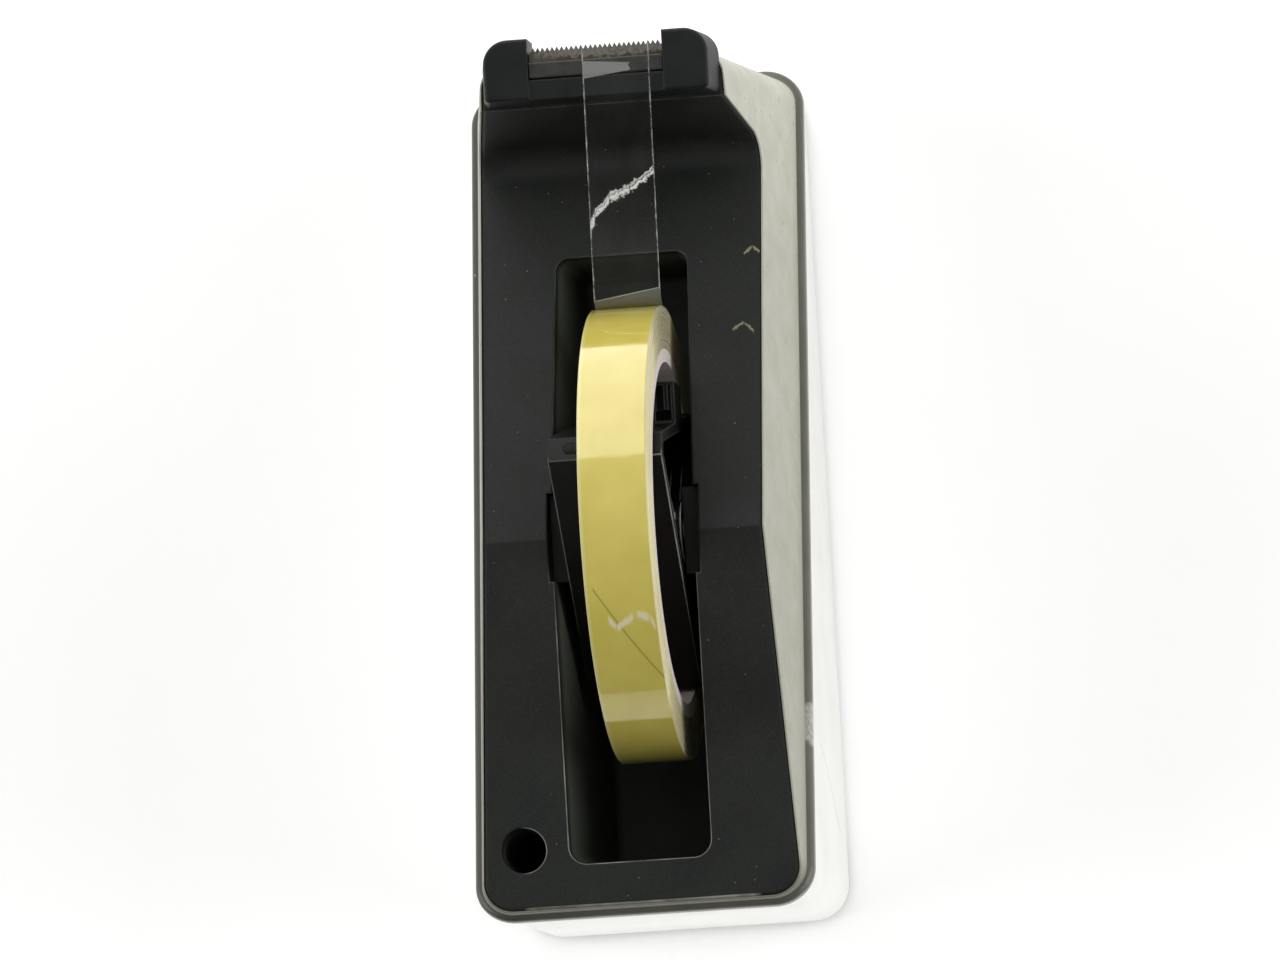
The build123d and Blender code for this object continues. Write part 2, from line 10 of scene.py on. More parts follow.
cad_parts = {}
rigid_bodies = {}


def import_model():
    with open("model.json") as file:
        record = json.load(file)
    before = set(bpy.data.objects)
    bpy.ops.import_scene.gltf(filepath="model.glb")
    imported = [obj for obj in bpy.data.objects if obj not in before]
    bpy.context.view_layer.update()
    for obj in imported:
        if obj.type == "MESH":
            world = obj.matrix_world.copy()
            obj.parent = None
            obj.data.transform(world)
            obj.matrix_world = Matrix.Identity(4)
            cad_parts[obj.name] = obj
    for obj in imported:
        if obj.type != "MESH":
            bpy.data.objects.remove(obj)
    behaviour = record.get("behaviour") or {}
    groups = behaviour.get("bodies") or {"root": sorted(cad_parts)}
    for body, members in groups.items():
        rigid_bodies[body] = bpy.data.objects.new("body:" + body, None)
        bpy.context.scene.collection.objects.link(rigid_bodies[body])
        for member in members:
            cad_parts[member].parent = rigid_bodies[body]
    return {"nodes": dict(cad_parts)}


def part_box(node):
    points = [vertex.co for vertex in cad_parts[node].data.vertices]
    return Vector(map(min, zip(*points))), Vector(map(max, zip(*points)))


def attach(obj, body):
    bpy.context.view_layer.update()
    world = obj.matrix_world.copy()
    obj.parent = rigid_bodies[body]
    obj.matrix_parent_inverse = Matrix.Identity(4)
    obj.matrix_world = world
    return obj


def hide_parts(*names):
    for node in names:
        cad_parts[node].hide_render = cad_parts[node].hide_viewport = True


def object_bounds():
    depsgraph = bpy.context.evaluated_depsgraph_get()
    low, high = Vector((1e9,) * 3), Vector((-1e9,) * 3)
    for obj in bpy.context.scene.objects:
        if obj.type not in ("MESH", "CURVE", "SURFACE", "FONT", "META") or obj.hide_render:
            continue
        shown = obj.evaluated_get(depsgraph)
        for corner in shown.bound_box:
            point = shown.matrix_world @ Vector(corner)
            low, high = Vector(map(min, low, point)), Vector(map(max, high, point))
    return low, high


MM = 0.001

for leftover in list(bpy.data.objects):
    bpy.data.objects.remove(leftover)
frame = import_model()
cad_low, cad_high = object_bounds()

# What several finishes and pieces are placed from: the roll, its axle and the nose cap's rear edge.
roll_low, roll_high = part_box("tape_roll")
roll_radius = (roll_high.z - roll_low.z) / 2
axle_y, axle_z = (roll_low.y + roll_high.y) / 2, (roll_low.z + roll_high.z) / 2
nose_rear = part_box("nose_cap")[1].y


# ---------------------------------------------------------------- mixing finishes

def paint(red, green, blue):
    """A paint chip's 0-255 values as the linear colour that a shader takes."""
    chip = [value / 255 for value in (red, green, blue)]
    return [c / 12.92 if c < 0.04045 else ((c + 0.055) / 1.055) ** 2.4 for c in chip] + [1]


class Finish:
    """One material being mixed. Its colour starts with base, and each lay puts another over it."""

    def __init__(self, name, **shader_values):
        self.material = bpy.data.materials.new(name)
        self.material.use_nodes = True
        self.tree = self.material.node_tree
        self.shader = self.tree.nodes["Principled BSDF"]
        self.place = self.tree.nodes.new("ShaderNodeTexCoord").outputs["Object"]
        self.colour = None
        self.give(self.shader, shader_values)

    def give(self, node, values):
        """Links a socket, or writes a plain value, into each named or numbered input."""
        for name, value in values.items():
            socket = node.inputs[name if isinstance(name, int) else name.replace("_", " ")]
            if isinstance(value, bpy.types.NodeSocket):
                self.tree.links.new(value, socket)
            else:
                socket.default_value = value

    def step(self, kind, values, **settings):
        node = self.tree.nodes.new(kind)
        for name, value in settings.items():
            setattr(node, name, value)
        self.give(node, values)
        return node

    # sums

    def maths(self, action, first, second=0.0):
        return self.step("ShaderNodeMath", {0: first, 1: second}, operation=action).outputs[0]

    def times(self, first, *others):
        for other in others:
            first = self.maths("MULTIPLY", first, other)
        return first

    def most(self, first, *others):
        for other in others:
            first = self.maths("MAXIMUM", first, other)
        return first

    def less(self, first, second):
        return self.maths("SUBTRACT", first, second)

    def between(self, value, low, high, bottom=0.0, top=1.0):
        """Value from low to high becomes bottom to top, and is held there outside."""
        reach = {"Value": value, "From Min": low, "From Max": high, "To Min": bottom, "To Max": top}
        return self.step("ShaderNodeMapRange", reach).outputs[0]

    # where on the piece

    def axis(self, letter, of=None):
        node = self.step("ShaderNodeSeparateXYZ", {"Vector": of or self.place})
        return node.outputs["XYZ".index(letter)]

    def normal(self):
        return self.tree.nodes.new("ShaderNodeNewGeometry").outputs["Normal"]

    def facing(self, letter):
        """How far the surface faces along an axis, -1 to 1."""
        return self.axis(letter, self.normal())

    # patterns and marks, 1 on them and 0 off them

    def grain(self, size, detail=2.0, roughness=0.5, stretch=(1, 1, 1)):
        """Soft random patches about size metres across, 0 to 1."""
        spread = self.step("ShaderNodeMapping", {"Vector": self.place, "Scale": stretch})
        values = {"Vector": spread.outputs[0], "Scale": 1 / size, "Detail": detail}
        values["Roughness"] = roughness
        return self.step("ShaderNodeTexNoise", values).outputs[0]

    def specks(self, size, radius, share):
        """Round dots: share of the cells, each size metres wide, hold one of that radius."""
        cells = self.step("ShaderNodeTexVoronoi", {"Vector": self.place, "Scale": 1 / size})
        near = self.between(cells.outputs["Distance"], radius, radius * 0.6)
        chosen = self.step("ShaderNodeSeparateColor", {"Color": cells.outputs["Color"]})
        return self.times(near, self.between(chosen.outputs[0], share, share * 0.8))

    def beyond(self, along, across, start, end):
        """How far the surface lies beyond the line through start and end, towards larger across."""
        lean = (end[1] - start[1]) / (end[0] - start[0])
        line = self.maths("ADD", self.times(along, lean), start[1] - lean * start[0])
        return self.less(across, line)

    def past_line(self, along, across, start, end):
        """1 beyond the line, with an edge as sharp as cut film's."""
        soft = 0.08 * MM
        return self.between(self.beyond(along, across, start, end), -soft, soft)

    def stroke(self, along, across, start, end, width, jag=0.0, jag_size=1.5 * MM):
        """A line from start to end on the surface; jag makes it wander."""
        away = self.beyond(along, across, start, end)
        if jag:
            wander = self.less(self.grain(jag_size, 3, 0.7), 0.5)
            away = self.maths("ADD", away, self.times(wander, jag))
        on_line = self.between(self.maths("ABSOLUTE", away), width, width * 0.3)
        low, high = sorted((start[0], end[0]))
        taper = 0.3 * MM
        starts = self.between(along, low, low + taper)
        return self.times(on_line, starts, self.between(along, high, high - taper))

    def spot(self, centre, radius, ragged=0.5, stretch=(1, 1, 1)):
        """A ragged spot round a place."""
        shift = [-c * s for c, s in zip(centre, stretch)]
        values = {"Vector": self.place, "Location": shift, "Scale": stretch}
        moved = self.step("ShaderNodeMapping", values).outputs[0]
        away = self.step("ShaderNodeVectorMath", {0: moved}, operation="LENGTH").outputs["Value"]
        wander = self.less(self.grain(radius * 0.7, 3, 0.7), 0.5)
        away = self.maths("ADD", away, self.times(wander, radius * 2 * ragged))
        return self.between(away, radius, radius * 0.8)

    def edges(self, radius, worn=0.88):
        """The sharp edges, out to that radius; worn nearer 1 is a wider line."""
        eased = self.step("ShaderNodeBevel", {"Radius": radius}, samples=6).outputs[0]
        pair = {0: eased, 1: self.normal()}
        same = self.step("ShaderNodeVectorMath", pair, operation="DOT_PRODUCT").outputs["Value"]
        return self.between(same, (1 + worn) / 2, worn)

    # colour, sheen and relief

    def blend(self, share, under, over):
        """Colour under, with over laid on it where share is 1."""
        node = self.step("ShaderNodeMix", {}, data_type="RGBA")
        self.give(node, {0: share, 6: under, 7: over})
        return node.outputs[2]

    def base(self, pattern, low, high, under, over):
        """Starts the colour: under, turning to over as the pattern goes from low to high."""
        self.colour = self.blend(self.between(pattern, low, high), under, over)

    def lay(self, share, over, strength=1.0):
        """Puts one more colour over what is there."""
        share = share if strength == 1 else self.times(share, strength)
        self.colour = self.blend(share, self.colour, over)

    def relief(self, height, depth, edge=0.0):
        """Bumps of that depth in metres, on edges eased to the given radius."""
        values = {"Height": height, "Strength": 1.0, "Distance": depth}
        if edge:
            values["Normal"] = self.step("ShaderNodeBevel", {"Radius": edge}, samples=6).outputs[0]
        self.give(self.shader, {"Normal": self.step("ShaderNodeBump", values).outputs[0]})

    def put_on(self, roughness, *nodes):
        """Closes the mix with its roughness and puts it on the CAD nodes named."""
        self.give(self.shader, {"Base Color": self.colour, "Roughness": roughness})
        for name in nodes:
            mesh = frame["nodes"][name].data
            mesh.materials.clear()
            mesh.materials.append(self.material)


def in_mm(pairs):
    """Pairs of millimetres as pairs of metres."""
    return [(first * MM, second * MM) for first, second in pairs]


# ---------------------------------------------------------------- finishes of the housing

def black_deck_plastic():
    """Matte moulded black with a spark-eroded grain, dust and threads of old glue; the well painted
    paler deeper down as painted bounce light, a painted highlight on its lip, and edges pale partly
    from rubbing wear, partly as painted highlight.
    """
    f = Finish("black_deck_plastic", Specular_IOR_Level=0.32)
    deck_low, deck_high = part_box("deck")
    x, y = f.axis("X"), f.axis("Y")
    cloud, grit = f.grain(18 * MM, 3), f.grain(0.35 * MM, 2)
    f.base(cloud, 0.35, 0.7, paint(20, 24, 22), paint(32, 35, 31))
    f.lay(f.between(grit, 0.55, 0.75, 0, 0.35), paint(66, 68, 60))

    depth = depth_below_deck(f, y, deck_high.z)
    # Painted light: inside the well the black turns paler with depth, standing in for bounce light
    # in its shade.
    behind_valley = f.between(y, nose_rear + 26.3 * MM, nose_rear + 30.3 * MM)
    f.lay(f.times(f.between(depth, 1.5 * MM, 6 * MM), behind_valley), paint(78, 82, 74))
    dust = f.times(f.specks(2.6 * MM, 0.08, 0.4), f.between(f.facing("Z"), 0.3, 0.7))
    f.lay(dust, paint(150, 146, 128), 0.4)

    from_right, behind_nose = f.less(x, deck_low.x), f.less(y, nose_rear)
    front_thread = in_mm(((8.0, 34.7), (6.0, 33.1), (4.2, 34.5)))
    rear_thread = in_mm(((10.7, 52.3), (8.0, 50.7), (5.7, 53.1)))
    for thread in (front_thread, rear_thread):
        for start, end in zip(thread, thread[1:]):
            bit = f.stroke(from_right, behind_nose, start, end, 0.5 * MM, 1.6 * MM, 1.1 * MM)
            f.lay(bit, paint(168, 164, 128), 0.7)

    # Painted highlight along the rounded lip of the well and the pen hole.
    f.lay(painted_lip_highlight(f, x, y, depth), paint(168, 168, 160))
    # Edges painted pale: partly rubbing wear, partly painted highlight.
    worn_and_lit_edges = f.times(f.edges(0.35 * MM), f.between(f.grain(5 * MM, 3), 0.4, 0.65, 0.25, 0.85))
    f.lay(worn_and_lit_edges, paint(140, 141, 134))
    f.relief(grit, 0.04 * MM, 0.5 * MM)
    f.put_on(f.between(cloud, 0.3, 0.7, 0.5, 0.66), "deck")


def depth_below_deck(f, y, flat_top):
    """How far the surface lies below the deck's flat top and the ramp that falls from it."""
    ramp_start, ramp_fall = axle_y + 0.5 * MM, math.tan(math.radians(21.7))
    drop = f.times(f.most(f.less(ramp_start, y), 0.0), ramp_fall)
    return f.less(f.less(flat_top, drop), f.axis("Z"))


def painted_lip_highlight(f, x, y, depth):
    """Painted highlight on the rounded lip of the well and the pen hole, stronger towards the rear.
    """
    deck_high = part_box("deck")[1]
    rounding = f.times(f.between(depth, 0.03 * MM, 0.08 * MM),
                       f.between(depth, 0.5 * MM, 0.36 * MM))
    within = f.between(f.maths("ABSOLUTE", x), deck_high.x - 9 * MM, deck_high.x - 11 * MM)
    patchy = f.between(f.grain(6 * MM, 3), 0.35, 0.65, 0.3, 0.9)
    to_rear = f.between(y, axle_y + 6.8 * MM, axle_y + 26.8 * MM, 0.15, 1)
    return f.times(rounding, within, patchy, to_rear)


def black_cap_plastic():
    """The nose cap's closer, slightly shinier black."""
    f = Finish("black_cap_plastic", Specular_IOR_Level=0.28)
    cloud, grit = f.grain(9 * MM, 3), f.grain(0.3 * MM, 2)
    f.base(cloud, 0.35, 0.7, paint(14, 18, 17), paint(22, 27, 25))
    f.lay(f.specks(2.2 * MM, 0.07, 0.12), paint(140, 138, 126), 0.45)
    f.relief(grit, 0.03 * MM, 0.6 * MM)
    f.put_on(f.between(cloud, 0.3, 0.7, 0.4, 0.52), "nose_cap")


def black_band_gloss():
    """Polished black trim band, painted mid grey as a painted sheen and darker to the left as
    painted shade, with hairlines along it, bright nicks and a scrap of tape at the right.
    """
    f = Finish("black_band_gloss", Coat_Weight=0.4, Coat_Roughness=0.22)
    low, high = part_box("trim_band")
    hair = f.grain(0.25 * MM, 2, 0.6, (1, 0.03, 0.4))
    # Painted sheen: the black band is painted mid grey in place of its broad soft highlight.
    f.base(f.grain(14 * MM, 3), 0.4, 0.7, paint(88, 88, 77), paint(100, 99, 87))
    # Painted shade: darker towards the left side.
    painted_shade_left = f.between(f.axis("X"), high.x - 28 * MM, high.x - 2 * MM, 0, 0.8)
    f.lay(painted_shade_left, paint(60, 60, 52))
    f.lay(f.specks(6 * MM, 0.06, 0.3), paint(170, 168, 158), 0.6)
    scrap_place = (low.x + 0.8 * MM, high.y - 40.2 * MM, high.z - 15.9 * MM)
    scrap = f.spot(scrap_place, 2.2 * MM, 0.25, (0.6, 0.36, 0.5))
    streaks = f.between(f.grain(0.5 * MM, 3, 0.6, (1, 0.25, 1)), 0.4, 0.6, 0.45, 0.9)
    f.lay(f.times(scrap, streaks), paint(196, 196, 188))
    f.relief(hair, 0.01 * MM, 0.3 * MM)
    f.put_on(f.between(hair, 0.4, 0.75, 0.34, 0.5), "trim_band")


def grey_shell_paint():
    """Warm light grey of the upper housing, smudged, with painted shade darkening it towards the
    rear and most of all at the rear edge.
    """
    f = Finish("grey_shell_paint", Specular_IOR_Level=0.4)
    y, rear = f.axis("Y"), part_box("upper_housing")[1].y
    smudge, orange_peel = f.grain(7 * MM, 4, 0.6), f.grain(0.6 * MM, 2)
    f.base(smudge, 0.35, 0.7, paint(206, 205, 190), paint(196, 195, 180))
    f.lay(f.between(f.grain(2.2 * MM, 3), 0.66, 0.72), paint(120, 118, 106), 0.4)
    # Painted shade: the grey darkens from the front towards the rear.
    painted_shade_front = f.between(y, rear - 187 * MM, rear - 142 * MM, 0, 0.36)
    painted_shade_rear = f.between(y, rear - 120 * MM, rear - 50 * MM, 0, 0.2)
    f.lay(f.maths("ADD", painted_shade_front, painted_shade_rear), paint(150, 149, 134))
    # Painted shade: darker still along the rear edge.
    f.lay(f.between(y, rear - 9 * MM, rear - 3 * MM, 0, 0.75), paint(88, 87, 76))
    f.relief(orange_peel, 0.02 * MM, 0.3 * MM)
    f.put_on(f.between(smudge, 0.3, 0.7, 0.38, 0.55), "upper_housing")


def white_shell_paint():
    """Near white of the lower housing, scuffed where it has been pushed about, with a painted
    shadow line along its bottom edge at the rear.
    """
    f = Finish("white_shell_paint", Specular_IOR_Level=0.4)
    low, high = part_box("lower_housing")
    above_foot, from_rear = f.less(f.axis("Z"), low.z), f.less(f.axis("Y"), high.y)
    cloud = f.grain(20 * MM, 3)
    f.base(cloud, 0.35, 0.7, paint(249, 249, 245), paint(244, 244, 239))
    scuffs = f.between(f.grain(1.2 * MM, 3, 0.6, (1, 0.08, 1)), 0.68, 0.72)
    f.lay(scuffs, paint(168, 168, 162), 0.35)
    top, bottom = in_mm(((43.5, -37.4), (12.5, -19.4)))
    hairline = f.stroke(above_foot, from_rear, top, bottom, 0.3 * MM, 1.2 * MM, 6 * MM)
    right_side = f.between(f.axis("X"), 0, -5 * MM)
    f.lay(f.times(hairline, right_side), paint(150, 150, 146), 0.6)
    # Painted shadow: a dark line along the bottom edge at the rear, where the base meets the table.
    painted_contact_shadow = f.times(f.between(above_foot, 0.9 * MM, 0.4 * MM),
                        f.between(from_rear, -24 * MM, -12 * MM))
    f.lay(painted_contact_shadow, paint(120, 121, 116), 0.7)
    f.relief(f.grain(0.7 * MM, 2), 0.02 * MM, 0.3 * MM)
    f.put_on(f.between(cloud, 0.3, 0.7, 0.35, 0.5), "lower_housing")


def foot_foam():
    """Grey anti-slip foam under the base."""
    f = Finish("foot_foam", Specular_IOR_Level=0.2)
    pores = f.grain(0.5 * MM, 3, 0.7)
    f.base(pores, 0.4, 0.6, paint(52, 52, 50), paint(72, 72, 69))
    f.relief(pores, 0.15 * MM)
    f.put_on(f.between(pores, 0.3, 0.7, 0.85, 0.95), "foot_mat")


def rough_casting():
    """Mineral ballast inside the base."""
    f = Finish("rough_casting", Specular_IOR_Level=0.25)
    lumps = f.grain(1.6 * MM, 4, 0.65)
    f.base(lumps, 0.35, 0.65, paint(92, 90, 86), paint(128, 125, 118))
    f.relief(lumps, 0.3 * MM)
    f.put_on(f.between(lumps, 0.3, 0.7, 0.75, 0.9), "ballast_block")


def plated_screws():
    """Bright zinc plate with a faint yellow cast."""
    f = Finish("plated_screws", Metallic=1.0)
    worn = f.grain(0.8 * MM, 3)
    f.base(worn, 0.4, 0.65, paint(176, 174, 164), paint(140, 136, 122))
    f.relief(worn, 0.01 * MM, 0.1 * MM)
    f.put_on(f.between(worn, 0.3, 0.7, 0.28, 0.5), "deck_screws", "nose_screws")


# ---------------------------------------------------------------- finishes of blade and axle

def blade_steel():
    """Dull spring steel with tarnish along its back and at its left end."""
    f = Finish("blade_steel", Metallic=0.85)
    low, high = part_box("blade")
    brushed = f.grain(0.12 * MM, 2, 0.5, (1, 0.06, 1))
    f.base(brushed, 0.3, 0.7, paint(143, 140, 132), paint(104, 101, 94))
    from_end = f.between(f.axis("X"), high.x, high.x - 7 * MM)
    from_back = f.between(f.axis("Y"), low.y + 3.1 * MM, low.y + 1.6 * MM)
    kept_clean = f.times(from_end, from_back, 0.3)
    blotch = f.between(f.less(f.grain(1.3 * MM, 4, 0.7), kept_clean), 0.3, 0.45)
    f.lay(f.times(blotch, f.between(from_end, 0.2, 1, 0.35, 0.85)), paint(88, 74, 52))
    f.relief(brushed, 0.01 * MM, 0.08 * MM)
    f.put_on(f.between(blotch, 0, 1, 0.34, 0.8), "blade")


def clamp_plastic():
    """Dark grey strip that holds the blade down."""
    f = Finish("clamp_plastic", Specular_IOR_Level=0.4)
    cloud = f.grain(3 * MM, 3)
    f.base(cloud, 0.35, 0.7, paint(42, 43, 40), paint(56, 56, 52))
    f.relief(f.grain(0.3 * MM, 2), 0.02 * MM, 0.3 * MM)
    f.put_on(f.between(cloud, 0.3, 0.7, 0.35, 0.5), "blade_clamp")


def turned_axle():
    """Plain turned steel."""
    f = Finish("turned_axle", Metallic=1.0)
    turning = f.grain(0.1 * MM, 2, 0.5, (1, 0.05, 0.05))
    f.base(turning, 0.3, 0.7, paint(150, 150, 148), paint(120, 120, 117))
    f.relief(turning, 0.005 * MM, 0.1 * MM)
    f.put_on(f.between(turning, 0.3, 0.7, 0.25, 0.4), "axle_shaft")


def axle_block_plastic():
    """Matte black of the blocks that carry the axle, moulded like the deck and as dusty."""
    f = Finish("axle_block_plastic", Specular_IOR_Level=0.32)
    cloud = f.grain(4 * MM, 3)
    f.base(cloud, 0.35, 0.7, paint(30, 33, 30), paint(40, 43, 38))
    f.lay(f.specks(2.2 * MM, 0.07, 0.2), paint(120, 118, 106), 0.3)
    f.relief(f.grain(0.3 * MM, 2), 0.02 * MM, 0.3 * MM)
    f.put_on(f.between(cloud, 0.3, 0.7, 0.5, 0.66), "axle_block_left", "axle_block_right")


# ---------------------------------------------------------------- finishes of the reel

def black_hub_plastic():
    """Moulded black of the hub, its edges beside the long flat face painted near white, partly as
    rubbing wear and partly as painted highlight.
    """
    f = Finish("black_hub_plastic", Specular_IOR_Level=0.22)
    y = f.axis("Y")
    cloud, grit = f.grain(6 * MM, 3), f.grain(0.25 * MM, 2)
    f.base(cloud, 0.35, 0.7, paint(11, 11, 10), paint(17, 17, 15))
    f.lay(f.specks(2.2 * MM, 0.07, 0.2), paint(130, 128, 116), 0.4)
    # Edges beside the long flat face painted near white: partly rubbing wear, partly painted
    # highlight.
    flat_begins = f.between(y, axle_y - 16 * MM, axle_y - 13 * MM, 0.06, 0.8)
    flat_fades = f.between(y, axle_y + 12 * MM, axle_y + 22 * MM, 1, 0.12)
    more_at_right = f.between(f.axis("X"), roll_high.x - 2 * MM, roll_high.x, 1, 0.35)
    patchy = f.between(f.grain(6 * MM, 3), 0.3, 0.6, 0.6, 1)
    worn_and_lit_edges = f.times(f.edges(0.6 * MM, 0.96), patchy, flat_begins, flat_fades, more_at_right)
    f.lay(worn_and_lit_edges, paint(232, 231, 222))
    f.relief(grit, 0.02 * MM, 0.35 * MM)
    f.put_on(f.between(cloud, 0.3, 0.7, 0.32, 0.46), "hub_left", "hub_right")


def grip_rubber():
    """Soft black ribs that hold the core."""
    f = Finish("grip_rubber", Specular_IOR_Level=0.25)
    bloom = f.grain(3 * MM, 3)
    f.base(bloom, 0.35, 0.7, paint(25, 25, 24), paint(40, 40, 38))
    f.relief(f.grain(0.2 * MM, 2), 0.03 * MM, 0.2 * MM)
    f.put_on(f.between(bloom, 0.3, 0.7, 0.68, 0.82), "hub_grips")


def core_card():
    """Wound white card with a pinkish cast, fibres running round it."""
    f = Finish("core_card", Specular_IOR_Level=0.2)
    fibre = f.grain(0.5 * MM, 4, 0.7, (2.5, 0.4, 0.4))
    f.base(fibre, 0.3, 0.7, paint(236, 226, 218), paint(214, 200, 190))
    f.relief(fibre, 0.05 * MM)
    f.put_on(f.between(fibre, 0.3, 0.7, 0.75, 0.9), "tape_core")


def wound_film():
    """Many turns of glossy film over yellow glue, with a fold and a scratch in the last one."""
    f = Finish("wound_film", Coat_Weight=1.0, Coat_Roughness=0.03, Specular_IOR_Level=0.5)
    x = f.axis("X")
    back, up = f.less(f.axis("Y"), axle_y), f.less(f.axis("Z"), axle_z)
    cloud = f.grain(9 * MM, 3)
    f.base(cloud, 0.3, 0.7, paint(227, 211, 104), paint(218, 201, 92))

    from_left = f.less(roll_high.x, x)
    round_it = f.times(f.maths("ARCTAN2", back, up), roll_radius)
    f.lay(fold_in_film(f, from_left, round_it), paint(140, 124, 44), 0.6)
    lifted = scratch_in_film(f, from_left, round_it)
    f.lay(lifted, paint(244, 238, 200), 0.9)
    rim = f.between(x, roll_high.x - 0.8 * MM, roll_high.x - 0.2 * MM)
    f.lay(rim, paint(232, 225, 160), 0.7)

    cut_side = f.between(f.maths("ABSOLUTE", f.facing("X")), 0.6, 0.8)
    from_axle = f.step("ShaderNodeCombineXYZ", {"Y": back, "Z": up}).outputs[0]
    turn = f.step("ShaderNodeVectorMath", {0: from_axle}, operation="LENGTH").outputs["Value"]
    turns = f.step("ShaderNodeTexNoise", {"W": turn, "Scale": 1 / (0.35 * MM), "Detail": 3.0},
                   noise_dimensions="1D").outputs[0]
    ends = f.blend(f.between(turns, 0.35, 0.65), paint(242, 237, 208), paint(228, 220, 178))
    f.lay(cut_side, ends)
    ripple = f.grain(3 * MM, 2, 0.5, (0.3, 1, 1))
    f.relief(f.maths("ADD", ripple, lifted), 0.05 * MM, 0.25 * MM)
    f.give(f.shader, {"Metallic": f.between(cut_side, 0, 1, 0.03, 0)})
    gloss = f.between(cloud, 0.3, 0.7, 0.09, 0.14)
    f.put_on(f.maths("ADD", gloss, f.times(cut_side, 0.35)), "tape_roll")
    return f.material


def round_the_roll(places):
    """Pairs of millimetres from the left side and degrees behind the top, in metres on the roll."""
    return [(aside * MM, math.radians(degrees) * roll_radius) for aside, degrees in places]


def fold_in_film(f, from_left, round_it):
    """One thin straight fold across the width."""
    start, end = round_the_roll(((1.5, 17.5), (15.4, 44.3)))
    return f.stroke(from_left, round_it, start, end, 0.6 * MM)


def scratch_in_film(f, from_left, round_it):
    """A jagged scratch in two parts, with film lifted along it."""
    parts = ((4.3, 25.8), (6.1, 28.4), (10.1, 25.6)), ((10.8, 25.2), (13.6, 26.1), (14.8, 29.2))
    bits = []
    for part in parts:
        corners = round_the_roll(part)
        for start, end in zip(corners, corners[1:]):
            bits.append(f.stroke(from_left, round_it, start, end, 1.3 * MM, 1.3 * MM))
    return f.times(f.most(*bits), f.between(f.grain(0.6 * MM, 3), 0.15, 0.45))


# ---------------------------------------------------------------- finish of the clear film

def clear_film(width):
    """The single turn that runs to the blade, nearly unseen but for its edges, folds and ends."""
    f = Finish("clear_film", Roughness=0.18, Specular_IOR_Level=0.6)
    across = f.step("ShaderNodeAttribute", {}, attribute_name="across").outputs["Fac"]
    y = f.axis("Y")
    from_roll, behind_nose = f.less(y, roll_low.y), f.less(y, nose_rear)
    crease = crease_lines(f, across, behind_nose)
    seen = f.most(film_haze(f, from_roll), film_rim(f, across, width), crease,
                  glued_fold(f, across, from_roll), end_stuck_to_clamp(f, across, y))
    f.give(f.shader, {"Alpha": seen, "Base Color": paint(226, 228, 222)})
    f.relief(f.maths("ADD", f.grain(2.5 * MM, 2), crease), 0.08 * MM)
    return f.material


def film_haze(f, from_roll):
    """A faint veil, more opaque over the stretch nearest the roll."""
    veil = f.between(f.grain(5 * MM, 3, 0.6, (1, 0.3, 1)), 0.3, 0.8, 0.003, 0.016)
    return f.maths("ADD", veil, f.between(from_roll, -18.45 * MM, -6.45 * MM, 0, 0.018))


def film_rim(f, across, width):
    """The two cut edges, which catch the light unevenly."""
    nearer_edge = f.maths("MINIMUM", across, f.less(width, across))
    uneven = f.between(f.grain(3.5 * MM, 4, 0.65), 0.36, 0.66, 0.08, 0.85)
    wander = f.times(f.less(f.grain(3 * MM, 3), 0.5), 0.35 * MM)
    rim = f.between(f.maths("ADD", nearer_edge, wander), 0.36 * MM, 0.1 * MM)
    return f.times(rim, uneven, 0.75)


def glued_fold(f, across, from_roll):
    """Film stuck to itself where it leaves the roll, up to a slanting brighter line."""
    start, end = in_mm(((0, -1.05), (15, -3.25)))
    doubled = f.times(f.past_line(across, from_roll, start, end), 0.18)
    start, end = in_mm(((0, -1.15), (15, -3.35)))
    line = f.times(f.stroke(across, from_roll, start, end, 0.2 * MM), 0.4)
    return f.most(doubled, line)


def end_stuck_to_clamp(f, across, y):
    """A pale torn patch where the end of the film is pressed onto the clamp."""
    behind_clamp = f.less(y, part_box("blade_clamp")[1].y)
    length = 10.6
    front = f.past_line(across, behind_clamp, *in_mm(((0, -3.1), (length, -2.1))))
    rear = f.less(1.0, f.past_line(across, behind_clamp, *in_mm(((0, 0.9), (length, -0.4)))))
    torn = f.maths("ADD", across, f.times(f.grain(1.4 * MM, 3), 2.4 * MM))
    side = f.between(torn, (length + 1.2) * MM, (length + 1.0) * MM)
    return f.times(front, rear, side, 0.27)


def crease_lines(f, across, behind_nose):
    """Jagged white lines side by side where the film has been folded, running up across it."""
    corners = (0.1, 30.0), (1.3, 26.8), (4.7, 23.2), (9.4, 21.5), (15.0, 17.6)
    widths = 1.5, 0.8, 0.8, 0.65
    overlap = 0.2
    # Each stretch has a main line, a thinner one in front of it and a faint fill between them.
    main, thin, fill = (0.0, 1.0, 1.0), (-1.0, 0.6, 0.8), (-0.4, 1.6, 0.15)
    lines = []
    for start, end, width in zip(corners, corners[1:], widths):
        for shift, share, strength in (main, thin, fill):
            ends = in_mm(((start[0] - overlap, start[1] + shift), (end[0], end[1] + shift)))
            line = f.stroke(across, behind_nose, *ends, width * share * MM, 3.6 * MM, 1.6 * MM)
            lines.append(f.times(line, strength))
    return f.times(f.most(*lines), f.between(f.grain(0.8 * MM, 3, 0.7), 0.3, 0.5, 0.6, 1.0))


for apply_finish in (
        black_deck_plastic, black_cap_plastic, black_band_gloss, grey_shell_paint,
        white_shell_paint, foot_foam, rough_casting, plated_screws, blade_steel, clamp_plastic,
        turned_axle, axle_block_plastic, black_hub_plastic, grip_rubber, core_card):
    apply_finish()
wound_finish = wound_film()


# ---------------------------------------------------------------- the film that runs to the blade

def straight_run(start, end, steps):
    """Points in even steps from start, which is left out, to end."""
    shares = [step / steps for step in range(1, steps + 1)]
    return [(start[0] + (end[0] - start[0]) * share, start[1] + (end[1] - start[1]) * share)
            for share in shares]


